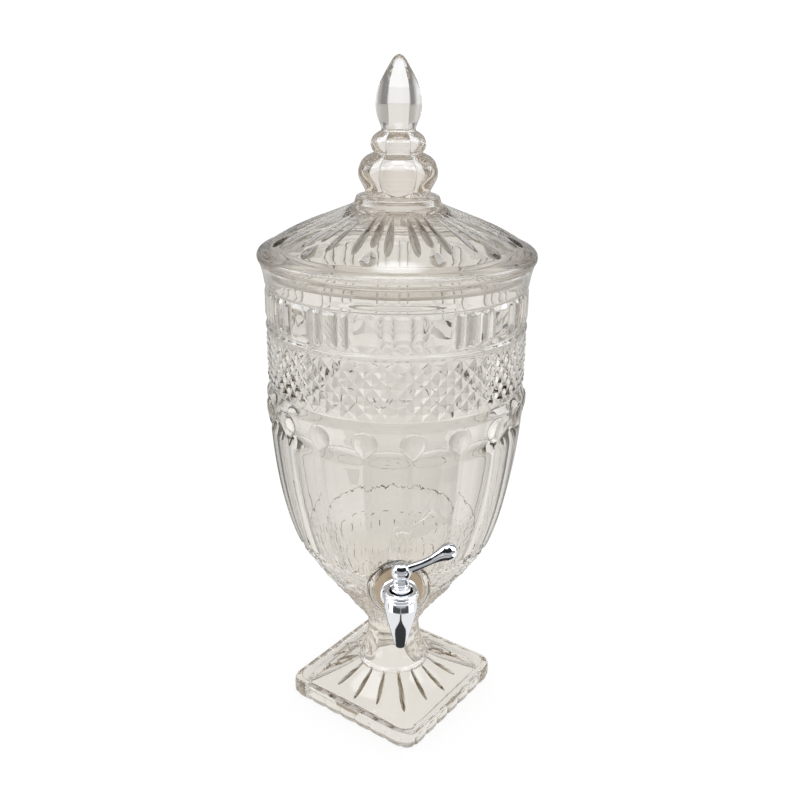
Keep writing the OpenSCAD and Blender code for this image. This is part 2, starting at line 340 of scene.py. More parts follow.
def bowl_rows():
    """Rows of the bowl from the stem up the outside, over the rim and down the inside."""
    az = AZ[None, :]
    out, flips = [], []

    def block(r, z, a=az, flip=None):
        r, a, z = np.broadcast_arrays(r, a, z)
        out.append(ring_points(r, a, z))
        flips.append(np.full(r.shape, -1) if flip is None else flip)

    # leaves
    p = bez((20, 62), (21, 71), (57, 112), (71.5, 140), 118, last=False)[1:]
    n = normals2(p)
    z = p[:, 1:2]
    leaf, inside = leaf_relief(az, z)
    flu = flute_relief(az, z)
    d = np.where(inside | (z < 125), leaf, flu)
    block(p[:, :1] + n[:, :1] * d, z + n[:, 1:] * d)
    # flutes and teardrops
    p = bez((71.5, 140), (83, 163), (91, 205), (92.5, 250), 400)
    zs = np.concatenate([np.arange(140, 147, 0.5), np.linspace(147, 236, 44), np.linspace(236.6, 250, 24)])
    p = np.column_stack([np.interp(zs, p[:, 1], p[:, 0]), zs])
    n = normals2(p)
    z = p[:, 1:2]
    leaf, inside = leaf_relief(az, z)
    flu = flute_relief(az, z)
    d = np.where(inside, leaf, flu - 1.5 * smooth(z, 236.0, 247.0))
    block(p[:, :1] + n[:, :1] * d, z + n[:, 1:] * d)
    zs = np.concatenate([np.linspace(250.6, 262.5, 24), np.linspace(263.2, 267.0, 7)])[:, None]
    block(np.broadcast_to(shoulder(zs), (len(zs), NC)), zs)
    # diamonds: rows fall on the lattice, so each facet is flat
    k = np.arange(-31, 6)
    zs = (301.3 + 5.62 * k / 5.0)[:, None]
    keep = (zs[:, 0] > 267.4) & (zs[:, 0] < 307.2)
    zs = zs[keep]
    d, fpq = diamond_relief(az, zs)
    mid, other = diamond_relief(az + 180.0 / NC, zs + 5.62 / 10)
    block(91.9 + d, zs, flip=np.where(other, 1, 0))
    # line ring between the bands
    for r, zz in ((90.3, 307.6), (90.6, 308.0), (90.9, 308.4), (91.4, 308.9), (91.8, 309.5), (91.9, 310.0),
                  (91.7, 310.6), (91.2, 311.2), (90.8, 311.7), (90.4, 312.1), (90.2, 312.5)):
        block(np.full((1, NC), r), np.full((1, NC), zz))
    # ribs: columns move sideways so that they lie on the ribs' edges
    knots = np.concatenate([np.array(RIB_EDGES[:-1]) + 30 * m for m in range(-2, 14)])
    cols = np.concatenate([np.round((np.array(RIB_EDGES[:-1]) + 30 * m - 4.5) / (360 / NC)) for m in range(-2, 14)])
    aw = np.interp(np.arange(NC), cols, knots)
    zs = np.concatenate([[313.0], np.linspace(313.3, 317.5, 10), np.linspace(318.4, 332.2, 9), np.linspace(333.0, 337.1, 10), [337.4]])[:, None]
    block(91.9 + rib_relief(aw[None, :], zs), zs, a=aw[None, :])
    # neck
    neck = rounded([(90.3, 337.8), (90.8, 338.4), (91.5, 339.6), (91.9, 341.5), (92.6, 346), (93.7, 351), (94.3, 353.0),
                    (94.0, 353.8), (93.0, 354.0)], 18)
    for r, zz in neck:
        block(np.full((1, NC), r), np.full((1, NC), zz))
    # rim and inside
    ins = [(91.0, 354.0), (88.6, 354.0), (87.6, 353.7), (87.1, 352.8)]
    for r, zz in ins:
        block(np.full((1, NC), r), np.full((1, NC), zz))
    p = np.vstack([even([(87.0, 351), (86.0, 250)], 34, last=False),
                   bez((86, 250), (84.5, 205), (76, 163), (64.5, 140), 40, last=False),
                   bez((64.5, 140), (57, 118), (36, 91), (10, 88), 34)])
    for n, (r, zz) in enumerate(p):
        block(r + 0.02 * ripple(az, 3.0 * n) * smooth(zz, 89.0, 100.0) * (1 - smooth(zz, 338.0, 349.0)), np.full((1, NC), zz))
    block(np.full((1, NC), 4.0), np.full((1, NC), 87.6))
    return np.concatenate(out), np.concatenate(flips)


def tubes(name, parts):
    """One object from closed tubes. parts: (rings, first point, last point), rings (n, columns, 3)."""
    verts, quads, tris, base = [], [], [], 0
    for rings, first, last in parts:
        nr, nc, _ = rings.shape
        i, j = np.meshgrid(np.arange(nr - 1), np.arange(nc), indexing="ij")
        k = (j + 1) % nc
        quads.append(base + np.stack([i * nc + j, i * nc + k, (i + 1) * nc + k, (i + 1) * nc + j], -1).reshape(-1, 4))
        j = np.arange(nc)
        k = (j + 1) % nc
        n, o = base + nr * nc, base + (nr - 1) * nc
        tris += [np.stack([np.full(nc, n), base + k, base + j], -1), np.stack([np.full(nc, n + 1), o + j, o + k], -1)]
        verts += [rings.reshape(-1, 3), np.array([first, last], float)]
        base += nr * nc + 2
    ob = mesh_object(name, np.vstack(verts), np.vstack(quads), np.vstack(tris))
    fix_normals(ob)
    return ob


def leaf_form(s, peak=0.68):
    """Width along a lens-shaped cut, 1 at its widest."""
    a, b = 1.3, 1.3 * (1 - peak) / peak
    s = np.clip(s, 0.001, 0.999)
    return np.maximum((s / peak) ** a * ((1 - s) / (1 - peak)) ** b, 0.02)


def lens_cut(prof, az, half, deep, vee, s0=0.0, peak=0.68, clear=4.0):
    """A cutter for a lens-shaped cut along a radial line. prof: (radius, height) points of the surface, from
    the narrow end to the other one. vee: 1 for a cut with two flat sides, 0 for a hollow one."""
    p = even(prof, 30)
    n = normals2(p)
    n = n * np.sign(n[:, 1:2])
    s = np.linspace(s0, 1.0, len(p))
    f = leaf_form(s, peak)
    x = np.linspace(-1.25, 1.25, 13)
    low = -(1 - np.abs(x)) * vee - (1 - x ** 2) * (1 - vee)
    a = math.radians(az)
    out, side = np.array([math.sin(a), -math.cos(a), 0.0]), np.array([math.cos(a), math.sin(a), 0.0])

    def at(k, across, up):
        return (p[k, 0] + n[k, 0] * up)[:, None] * out + across[:, None] * side + (p[k, 1] + n[k, 1] * up)[:, None] * np.array([0, 0, 1.0])

    rings = []
    for k in range(len(p)):
        w, dp = half * f[k], deep * f[k] ** 0.8
        xs = np.concatenate([x * w, [1.25 * w, -1.25 * w]])
        up = np.concatenate([low * dp, [clear, clear]])
        rings.append(at(k, xs, up))
    mid = np.zeros(1)
    return np.array(rings), at(0, mid, mid + 0.4 * clear)[0], at(len(p) - 1, mid, mid + 0.4 * clear)[0]


def foot_cutter():
    """Sixteen lens-shaped cuts that start at the stem's ring."""
    parts = []
    for k in range(16):
        az = FOOT_TURN + 22.5 * k
        edge = float(square_reach(np.array(az), FOOT_HALF, 11.0)) - 5.2
        end = 60.0 if k % 4 == 0 else 51.5
        r = np.linspace(27.4, end, 60)
        parts.append(lens_cut(np.column_stack([r, foot_top(r, edge)]), az, 2.1 if k % 4 == 0 else 1.9, 3.0, 1.0, s0=0.27, peak=0.7, clear=2.6))
    return tubes("foot_cuts", parts)


def teardrops():
    """A teardrop, point down, on each flute's ridge: a round pillow that runs out to a point."""
    parts = []
    fi = np.linspace(0, 2 * np.pi, 64, endpoint=False)      # 0 is up
    down = np.abs(np.pi - fi)
    big, tip = 8.8, 11.6
    beta = math.acos(big / tip)
    reach = np.where(down < beta, big / np.cos(down - beta), big)
    rho = np.concatenate([np.sin(np.linspace(0.06, np.pi / 2, 14))])
    for k in range(18):
        az0 = 4.5 + 20 * k
        rings = []
        for q in rho:
            across, z = q * reach * np.sin(fi), 252.3 + q * reach * np.cos(fi)
            wall = np.where(z >= 250, shoulder(z), np.interp(z, [236, 241, 245, 247, 250], [91.6, 91.3, 90.9, 90.9, 91.0]))
            rings.append(ring_points(wall - 0.2 + 3.1 * (1 - q * q) ** 0.58, az0 + np.degrees(across / 91.5), z))
        rings.append(ring_points(wall - 3.0, az0 + np.degrees(across / 91.5), z))
        first = ring_points(np.array(shoulder(252.3)) + 2.9, np.array(az0), np.array(252.3))
        last = ring_points(np.array(88.0), np.array(az0), np.array(252.3))
        parts.append((np.array(rings), first, last))
    return tubes("teardrops", parts)


def make_vessel():
    foot = foot_rows()
    bowl, flips = bowl_rows()
    rows = np.concatenate([foot, bowl])
    flip = np.concatenate([np.full((len(foot), NC), -1), flips])[:-1]
    return revolve("vessel_glass", rows, first_pole=(0, 0, 54.2), last_pole=(0, 0, 87.5), flip=flip)


def lathe_y(name, prof, seg=96):
    """The rings of a solid turned about the tap's horizontal axis. prof: (radius, y) with the solid inside."""
    prof = np.asarray(prof, float)
    a = np.linspace(0, 2 * np.pi, seg, endpoint=False)
    rows = np.stack([prof[:, :1] * np.cos(a), np.broadcast_to(prof[:, 1:], (len(prof), seg)), 135.5 + prof[:, :1] * np.sin(a)], -1)
    return rows


def boss_solids():
    """The pad on the bowl's wall that carries the tap, and what is cut from it."""
    pad = [(19.3, -75.0), (20.3, -75.05), (20.9, -75.5), (21.7, -75.5), (22.3, -74.8), (22.5, -73.4), (22.6, -71.5), (22.2, -68.5), (20.4, -65.0), (18.2, -62.4), (17.0, -61.3), (16.0, -61.0)]
    pad = rounded(pad, 26)
    a = revolve("boss_pad", lathe_y("", pad)[::-1][:, :, :], first_pole=(0, -61.0, 135.5), last_pole=(0, -75.0, 135.5))
    cut = rounded([(14.0, -72.5), (16.6, -72.45), (17.25, -72.1), (17.5, -71.0 - 1.2), (17.7, -73.4), (18.2, -74.6), (19.2, -75.6), (20.3, -78.0), (21.6, -84.0)], 22)
    b = revolve("boss_recess", lathe_y("", cut)[:, :, :], first_pole=(0, -72.5, 135.5), last_pole=(0, -84.0, 135.5))
    hole = even([(8.5, -40.0), (8.5, -80.0)], 5)
    c = revolve("boss_hole", lathe_y("", hole)[:, :, :], first_pole=(0, -40.0, 135.5), last_pole=(0, -80.0, 135.5))
    pocket = rounded([(15.6, -61.0), (16.4, -60.8), (16.8, -60.0), (18.0, -55.0), (21.0, -48.0), (24.0, -30.0)], 16)
    e = revolve("boss_pocket", lathe_y("", pocket)[:, :, :], first_pole=(0, -61.0, 135.5), last_pole=(0, -30.0, 135.5))
    for o in (a, b, c, e):
        fix_normals(o)
    return a, b, c, e


def fix_normals(ob):
    import bmesh
    bm = bmesh.new()
    bm.from_mesh(ob.data)
    bmesh.ops.recalc_face_normals(bm, faces=bm.faces)
    if bm.calc_volume(signed=True) < 0:
        bmesh.ops.reverse_faces(bm, faces=bm.faces)
    bm.to_mesh(ob.data)
    bm.free()


def boolean(ob, other, op):
    m = ob.modifiers.new(op, "BOOLEAN")
    m.object, m.operation, m.solver = other, op, "MANIFOLD"
    dg = bpy.context.evaluated_depsgraph_get()
    me = bpy.data.meshes.new_from_object(ob.evaluated_get(dg))
    ob.modifiers.clear()
    old = ob.data
    ob.data = me
    bpy.data.meshes.remove(old)
    bpy.data.objects.remove(other)


# ---------------------------------------------------------------- lid and finial, one piece of glass
LC = 540
LAZ = np.arange(LC) * (360.0 / LC) - 3.1


DOME = rounded([(90.4, 363.6), (79.0, 370.5), (66.0, 376.9), (52.0, 382.5), (40.0, 387.3), (33.0, 390.2), (30.2, 391.6)], 200)


def dome_at(r):
    return np.interp(r, DOME[::-1, 0], DOME[::-1, 1])


def lid_cutters():
    """In each 30 degrees three hollow petals that run down from the collar, and a fan below the middle one."""
    petals, fans = [], []
    for k in range(12):
        c = 14.7 + 30 * k
        for off, end in ((-8.0, 78.5), (0.0, 71.0), (8.0, 78.5)):
            r = np.linspace(32.0, end, 60)
            petals.append(lens_cut(np.column_stack([r, dome_at(r)]), c + off, 3.0, 1.7, 0.4, peak=0.72))
        r = np.linspace(73.0, 86.5, 60)
        fans.append(lens_cut(np.column_stack([r, dome_at(r)]), c, 6.0, 2.0, 0.75, peak=0.66))
    return tubes("petals", petals), tubes("fans", fans)


def finial_rows():
    az = LAZ[None, :]
    rows = []
    lobe = ((az + 3.1 + 30.0) % 60.0 - 30.0) / 30.0       # 0 at a lobe's middle, 1 in the valley
    bulge = np.sqrt(np.clip(1 - np.abs(lobe) ** 2, 0, 1))

    def add(r, z):
        rows.append(ring_points(np.broadcast_to(r, (1, LC)), az, np.broadcast_to(np.asarray(z, float), (1, LC))))

    # lobed bulb: outline of the lobes' middles
    bulb = rounded([(22.6, 398.6), (22.9, 399.8), (23.6, 402.0), (25.6, 405.5), (27.4, 409.0), (28.0, 412.0),
                    (27.6, 415.5), (26.0, 419.0), (23.0, 422.0), (19.2, 424.0), (17.0, 424.9)], 34)
    for r, z in bulb:
        w = smooth(z, 397.8, 401.5) * (1 - 0.4 * smooth(z, 421, 425))
        add(r * (1 - 0.15 * w * (1 - bulge)), z)
    # lobed ring
    knob = rounded([(16.2, 425.4), (17.4, 426.2), (18.8, 428.2), (19.4, 430.4), (19.0, 433.0), (17.4, 435.6), (14.4, 437.8),
                    (12.0, 439.0), (11.3, 440.0)], 26)
    for r, z in knob:
        w = smooth(z, 424.9, 427.0) * (1 - smooth(z, 436.5, 440.0))
        add(r * (1 - 0.17 * w * (1 - bulge)), z)
    # six-sided bud with slightly hollow sides
    bud = rounded([(11.4, 440.8), (12.4, 443.5), (14.0, 447.5), (15.0, 452.0), (15.2, 456.0), (14.7, 461.0), (13.3, 466.5),
                   (11.3, 471.2), (9.1, 475.3), (6.8, 479.2), (4.5, 483.0), (2.7, 485.1), (1.1, 486.0)], 44)
    for r, z in bud:
        w = smooth(z, 440.0, 446.0) * (1 - smooth(z, 474.0, 483.0))
        flat = np.cos(np.radians(30.0)) / np.cos(np.radians(30.0) * lobe)
        add(r * (1 - w * (1 - flat) - 0.025 * w * (1 - lobe ** 2)), z)
    return np.concatenate(rows)


def make_lid():
    az = LAZ[None, :]
    rows = []

    def add(r, z):
        rows.append(ring_points(np.broadcast_to(r, (1, LC)), az, np.broadcast_to(np.asarray(z, float), (1, LC))))

    for r, z in rounded([(4, 387), (16, 386.6), (31, 384.5), (56, 375.5), (77.5, 363.0), (80.0, 360.0), (80.1, 357.0)], 44):
        add(r, z + 0.015 * ripple(az, 2.2 * r) * smooth(r, 8.0, 20.0) * (1 - smooth(r, 74.0, 78.5)))
    for r, z in rounded([(80.1, 355.0), (80.1, 348.4), (80.6, 347.0), (82.0, 346.5), (83.4, 346.6), (84.6, 347.4), (85.0, 349.0), (85.0, 352.4),
                         (85.4, 353.6), (86.4, 354.2)], 26):
        add(r, z)
    for r, z in rounded([(88.0, 354.25), (92.5, 354.3), (94.6, 354.7), (95.8, 356.0), (96.2, 358.0), (95.9, 359.8), (95.0, 361.2),
                         (93.6, 362.3), (92.0, 363.1), (91.0, 363.3)], 30):
        add(r, z)
    for r, z in even(DOME, 60):
        add(r, z)
    for r, z in fillet([(29.8, 391.7), (29.7, 392.2), (28.4, 396.2), (27.5, 397.2), (25.0, 397.5), (23.4, 397.9), (22.8, 398.2)], 0.4):
        add(r, z)
    rows = np.concatenate(rows + [finial_rows()])
    return revolve("lid_glass", rows, first_pole=(0, 0, 387.0), last_pole=(0, 0, 486.2))


# ---------------------------------------------------------------- materials
def new_mat(name):
    m = bpy.data.materials.new(name)
    m.use_nodes = True
    nt = m.node_tree
    nt.nodes.clear()
    out = nt.nodes.new("ShaderNodeOutputMaterial")
    b = nt.nodes.new("ShaderNodeBsdfPrincipled")
    nt.links.new(b.outputs["BSDF"], out.inputs["Surface"])
    return m, nt, b


def glass_mat():
    m, nt, b = new_mat("smoky_glass")
    b.inputs["Roughness"].default_value = 0.0
    b.inputs["IOR"].default_value = 1.50
    b.inputs["Transmission Weight"].default_value = 1.0
    body = nt.nodes.new("ShaderNodeVolumeAbsorption")
    body.inputs["Color"].default_value = (0.6, 0.46, 0.28, 1)
    body.inputs["Density"].default_value = 6.0
    nt.links.new(body.outputs["Volume"], nt.nodes["Material Output"].inputs["Volume"])
    # the faint ripple of pressed glass
    co = nt.nodes.new("ShaderNodeTexCoord")
    n1 = nt.nodes.new("ShaderNodeTexNoise")
    n1.inputs["Scale"].default_value = 90.0
    n1.inputs["Detail"].default_value = 2.0
    n1.inputs["Roughness"].default_value = 0.45
    nt.links.new(co.outputs["Object"], n1.inputs["Vector"])
    bump = nt.nodes.new("ShaderNodeBump")
    bump.inputs["Strength"].default_value = 1.0
    bump.inputs["Distance"].default_value = 0.00005
    nt.links.new(n1.outputs["Fac"], bump.inputs["Height"])
    nt.links.new(bump.outputs["Normal"], b.inputs["Normal"])
    # painted shade: the cuts in the foot and the lid darken the base colour towards a deep brown
    at = nt.nodes.new("ShaderNodeAttribute")
    at.attribute_name = "painted_shade"
    mix = nt.nodes.new("ShaderNodeMix")
    mix.data_type = "RGBA"
    mix.inputs["A"].default_value = (0.835, 0.817, 0.787, 1)
    mix.inputs["B"].default_value = (0.20, 0.155, 0.10, 1)
    nt.links.new(at.outputs["Fac"], mix.inputs["Factor"])
    nt.links.new(mix.outputs["Result"], b.inputs["Base Color"])
    return m


def paint(ob, name, fn):
    """Keeps a value per point on the mesh, worked out from its place in millimetres."""
    n = len(ob.data.vertices)
    co = np.empty(n * 3, np.float32)
    ob.data.vertices.foreach_get("co", co)
    co = co.reshape(-1, 3) / MM
    at = ob.data.attributes.new(name, "FLOAT", "POINT")
    at.data.foreach_set("value", fn(co[:, 0], co[:, 1], co[:, 2]).astype(np.float32))


def chrome_mat(name="tap_chrome", color=(0.78, 0.79, 0.82), rough=0.035, gaps=False):
    """Bright plating, with the faint smears and specks of handling."""
    m, nt, b = new_mat(name)
    b.inputs["Metallic"].default_value = 1.0
    b.inputs["Base Color"].default_value = (*color, 1)
    if gaps:
        at = nt.nodes.new("ShaderNodeAttribute")
        at.attribute_name = "painted_shade"                 # painted shade: narrow gaps darken towards black
        mix = nt.nodes.new("ShaderNodeMix")
        mix.data_type = "RGBA"
        mix.inputs["A"].default_value = (*color, 1)
        mix.inputs["B"].default_value = (0.02, 0.02, 0.02, 1)
        nt.links.new(at.outputs["Fac"], mix.inputs["Factor"])
        nt.links.new(mix.outputs["Result"], b.inputs["Base Color"])
    co = nt.nodes.new("ShaderNodeTexCoord")
    n1 = nt.nodes.new("ShaderNodeTexNoise")
    n1.inputs["Scale"].default_value = 260.0
    n1.inputs["Detail"].default_value = 5.0
    nt.links.new(co.outputs["Object"], n1.inputs["Vector"])
    ra = nt.nodes.new("ShaderNodeMapRange")
    ra.inputs["From Min"].default_value, ra.inputs["From Max"].default_value = 0.35, 0.75
    ra.inputs["To Min"].default_value, ra.inputs["To Max"].default_value = rough, rough * 2.2
    nt.links.new(n1.outputs["Fac"], ra.inputs["Value"])
    nt.links.new(ra.outputs["Result"], b.inputs["Roughness"])
    bump = nt.nodes.new("ShaderNodeBump")
    bump.inputs["Strength"].default_value = 0.15
    bump.inputs["Distance"].default_value = 0.00004
    nt.links.new(n1.outputs["Fac"], bump.inputs["Height"])
    nt.links.new(bump.outputs["Normal"], b.inputs["Normal"])
    return m


def soft_mat(name, color, rough, glow):
    """Moulded plastic or rubber: a mottled tone, a fine grain and a little light let through."""
    m, nt, b = new_mat(name)
    co = nt.nodes.new("ShaderNodeTexCoord")
    n1 = nt.nodes.new("ShaderNodeTexNoise")
    n1.inputs["Scale"].default_value = 300.0
    n1.inputs["Detail"].default_value = 4.0
    nt.links.new(co.outputs["Object"], n1.inputs["Vector"])
    mix = nt.nodes.new("ShaderNodeMix")
    mix.data_type = "RGBA"
    mix.inputs["A"].default_value = (*[c * 0.86 for c in color], 1)
    mix.inputs["B"].default_value = (*[min(1, c * 1.12) for c in color], 1)
    nt.links.new(n1.outputs["Fac"], mix.inputs["Factor"])
    nt.links.new(mix.outputs["Result"], b.inputs["Base Color"])
    b.inputs["Roughness"].default_value = rough
    b.inputs["Subsurface Weight"].default_value = glow
    b.inputs["Subsurface Radius"].default_value = (0.004, 0.003, 0.002)
    b.inputs["Subsurface Scale"].default_value = 1.0
    fine = nt.nodes.new("ShaderNodeTexNoise")
    fine.inputs["Scale"].default_value = 1800.0
    nt.links.new(co.outputs["Object"], fine.inputs["Vector"])
    bump = nt.nodes.new("ShaderNodeBump")
    bump.inputs["Strength"].default_value = 0.3
    bump.inputs["Distance"].default_value = 0.0001
    nt.links.new(fine.outputs["Fac"], bump.inputs["Height"])
    nt.links.new(bump.outputs["Normal"], b.inputs["Normal"])
    return m


def plain_mat(name, color, rough):
    m, nt, b = new_mat(name)
    b.inputs["Base Color"].default_value = (*color, 1)
    b.inputs["Roughness"].default_value = rough
    return m


GLASS, CHROME = glass_mat(), chrome_mat()
GAP_SHADED_CHROME = chrome_mat("tap_chrome_bonnet", gaps=True)

# ---------------------------------------------------------------- build
vessel = make_vessel()
pad, recess, hole, pocket = boss_solids()
boolean(vessel, foot_cutter(), "DIFFERENCE")
boolean(vessel, teardrops(), "UNION")
boolean(vessel, pad, "UNION")
boolean(vessel, recess, "DIFFERENCE")
boolean(vessel, hole, "DIFFERENCE")
boolean(vessel, pocket, "DIFFERENCE")
lid = make_lid()
for cutter in lid_cutters():
    boolean(lid, cutter, "DIFFERENCE")
for ob, body, nodes in ((vessel, "vessel", ("bowl", "pedestal_foot")), (lid, "lid", ("lid", "lid_finial"))):
    ob.data.shade_smooth()
    ob.data.set_sharp_from_angle(angle=math.radians(32))
    ob.data.materials.clear()
    ob.data.materials.append(GLASS)
    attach(ob, body)
    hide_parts(*nodes)


# painted shade in the foot's lens cuts: none at the surface, full deeper than 1.6 mm
def foot_cut_shade(x, y, z):
    r, az = np.hypot(x, y), np.degrees(np.arctan2(x, -y))
    edge = square_reach(az, FOOT_HALF, 11.0) - 5.2
    under = foot_top(r, edge) - z
    return np.where((r > 27.5) & (r < 61.0) & (under < 4.0), smooth(under, 0.15, 1.6), 0.0)


# painted shade in the lid's petals and fans: none at the surface, three quarters of full deeper than 1.2 mm
def lid_cut_shade(x, y, z):
    r = np.hypot(x, y)
    under = dome_at(r) - z
    return np.where((r > 32.0) & (r < 87.0) & (under < 2.6), 0.75 * smooth(under, 0.1, 1.2), 0.0)


paint(vessel, "painted_shade", foot_cut_shade)
paint(lid, "painted_shade", lid_cut_shade)


# ---------------------------------------------------------------- tap: chromed pieces
TAP_Y, TAP_Z = -99.0, 135.5


def solid(name, prof, axis="z", seg=128, closed=False):
    """A solid of revolution. axis z: about the barrel's upright axis, prof (radius, height).
    axis y: about the shank's axis, prof (radius, y). closed: the profile is a loop, as for a ring."""
    prof = np.asarray(prof, float)
    a = np.linspace(0, 2 * np.pi, seg, endpoint=False)
    r, h = prof[:, :1], prof[:, 1:]
    if axis == "z":
        rows = np.stack([r * np.cos(a), TAP_Y + r * np.sin(a), np.broadcast_to(h, (len(prof), seg))], -1)
        ends = [(0, TAP_Y, prof[0, 1]), (0, TAP_Y, prof[-1, 1])]
    else:
        rows = np.stack([r * np.cos(a), np.broadcast_to(h, (len(prof), seg)), TAP_Z + r * np.sin(a)], -1)
        ends = [(0, prof[0, 1], TAP_Z), (0, prof[-1, 1], TAP_Z)]
    if closed:
        rows = np.concatenate([rows, rows[:1]])
        nr = len(prof)
        i, j = np.meshgrid(np.arange(nr), np.arange(seg), indexing="ij")
        k, l = (j + 1) % seg, (i + 1) % nr
        quads = np.stack([i * seg + j, i * seg + k, l * seg + k, l * seg + j], -1).reshape(-1, 4)
        ob = mesh_object(name, rows[:-1].reshape(-1, 3), quads, np.zeros((0, 3), int))
    else:
        ob = revolve(name, rows, first_pole=ends[0], last_pole=ends[1])
    fix_normals(ob)
    return ob


def make_tap_body():
    low = rounded([(3.6, 107.1), (4.6, 110.5), (6.4, 117.0), (8.9, 127.0), (11.3, 138.6)], 24).tolist()
    outer = fillet([(2.8, 106.5), (3.45, 106.5)] + low + [(11.45, 139.3), (11.35, 140.0), (10.8, 145.0), (10.5, 145.5), (9.0, 145.5), (9.0, 148.0), (6.0, 148.0)], 0.3)
    body = solid("tap_barrel", outer)
    neck = solid("tap_neck", fillet([(6.0, -96.0), (9.5, -96.0), (9.5, -84.6), (9.1, -83.6), (9.5, -82.6), (9.5, -82.5), (5.0, -82.5)], 0.3), "y")
    boolean(body, neck, "UNION")
    for prof, ax in (([(7.5, 126.5), (7.5, 160.0)], "z"), ([(2.5, 100.0), (2.5, 130.0)], "z"), ([(8.05, -88.5), (8.05, -70.0)], "y"), ([(4.0, -99.0), (4.0, -86.0)], "y")):
        cutter = solid("cut", even(prof, 6), ax)
        boolean(body, cutter, "DIFFERENCE")
    return body


def make_lever():
    hub = solid("lever_hub", fillet([(3.0, 149.8), (6.2, 149.8), (6.6, 150.4), (6.6, 151.8), (6.1, 152.6), (5.0, 153.2), (5.0, 153.8), (5.6, 154.3),
                                     (5.6, 156.6), (5.45, 156.8), (5.45, 157.0), (5.6, 157.2), (5.6, 158.2), (5.2, 158.9), (5.0, 160.0)], 0.4).tolist()
                + [(6.8 * math.cos(t), 164.8 + 6.8 * math.sin(t)) for t in np.radians(np.linspace(-44, 88, 40))])
    # arm and end ball in one sweep, swelling into the ball
    path = rounded([(2.0, 0.9), (8.0, 3.2), (15.0, 6.0), (20.0, 8.5), (24.0, 11.0), (30.5, 14.6), (36.1, 17.7)], 90)
    d = np.gradient(path, axis=0)
    d /= np.hypot(d[:, 0], d[:, 1])[:, None]
    s = np.concatenate([[0], np.cumsum(np.hypot(*np.diff(path, axis=0).T))])
    form = rounded([(0, 3.9), (6, 3.5), (12, 3.15), (17, 3.1), (21, 3.35), (24.5, 4.05), (27.5, 5.0), (30, 5.85), (32.2, 6.2), (34.2, 5.85),
                    (36.0, 4.85), (37.2, 3.6), (37.9, 2.3), (38.3, 1.0)], 300)
    form[:, 0] *= s[-1] / 38.3
    rad = np.interp(s, form[:, 0], form[:, 1])
    rad[-1] = 0.6
    a = np.linspace(0, 2 * np.pi, 64, endpoint=False)
    c = np.column_stack([path[:, 0], np.full(len(path), TAP_Y), 164.8 + path[:, 1]])
    up = np.column_stack([-d[:, 1], np.zeros(len(d)), d[:, 0]])
    rows = c[:, None] + rad[:, None, None] * (np.cos(a)[None, :, None] * np.array([0, 1.0, 0]) + np.sin(a)[None, :, None] * up[:, None])
    arm = revolve("lever_arm", rows, first_pole=tuple(c[0] - np.array([0.3, 0, 0.1])), last_pole=tuple(c[-1] + np.array([d[-1, 0], 0, d[-1, 1]]) * 0.1))
    fix_normals(arm)
    boolean(hub, arm, "UNION")
    boolean(hub, solid("cut", even([(4.05, 140.0), (4.05, 163.2)], 8)), "DIFFERENCE")
    # hole for the grub screw, on the far side
    a = np.linspace(0, 2 * np.pi, 32, endpoint=False)
    h = np.linspace(TAP_Y + 1.0, TAP_Y + 14.0, 5)
    rows = np.stack([np.broadcast_to(1.55 * np.cos(a), (5, 32)), np.broadcast_to(h[:, None], (5, 32)), np.broadcast_to(156 + 1.55 * np.sin(a), (5, 32))], -1)
    pin = revolve("cut", rows, first_pole=(0, h[0], 156), last_pole=(0, h[-1], 156))
    fix_normals(pin)
    boolean(hub, pin, "DIFFERENCE")
    return hub


def make_bonnet():
    return solid("bonnet", fillet([(9.05, 145.6), (10.8, 145.6), (11.1, 146.0), (11.1, 148.0), (10.6, 148.5), (10.6, 148.8), (11.4, 149.2), (11.65, 149.8), (11.5, 150.7), (10.6, 151.28), (9.5, 151.3),
                                   (8.5, 151.1), (7.9, 150.5), (7.75, 149.5), (4.3, 149.4), (4.3, 148.05), (9.05, 148.05), (9.05, 147.0)], 0.35), closed=True)


def make_escutcheon():
    return solid("flange", fillet([(8.05, -74.5), (11.4, -74.5), (11.5, -77.0), (12.8, -78.0), (13.5, -79.3), (13.5, -80.6), (12.7, -81.8), (11.2, -82.4),
                                   (9.6, -82.5), (8.05, -82.5), (8.05, -78.5)], 0.5), "y", closed=True)


tap_pieces = []
for nm, make, node, body in (("tap_body_chrome", make_tap_body, "tap_body", "vessel"), ("bonnet_chrome", make_bonnet, "tap_bonnet", "vessel"),
                             ("escutcheon_chrome", make_escutcheon, "escutcheon", "vessel"), ("lever_chrome", make_lever, "lever_handle", "lever")):
    ob = make()
    ob.name = nm
    ob.data.name = nm
    ob.data.shade_smooth()
    ob.data.set_sharp_from_angle(angle=math.radians(38))
    ob.data.materials.clear()
    ob.data.materials.append(GAP_SHADED_CHROME if node == "tap_bonnet" else CHROME)
    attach(ob, body)
    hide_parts(node)
    tap_pieces.append(ob)
# painted shade on the bonnet: black in the recess round the stem above 149 mm, nearly black from 148.3 to 149 mm inside
# 10.8 mm
paint(tap_pieces[1], "painted_shade", lambda x, y, z: np.where((np.hypot(x, y - TAP_Y) < 7.95) & (z > 149.0), 1.0,
                                                        np.where((np.hypot(x, y - TAP_Y) < 10.8) & (z > 148.3) & (z < 149.0), 0.9, 0.0)))

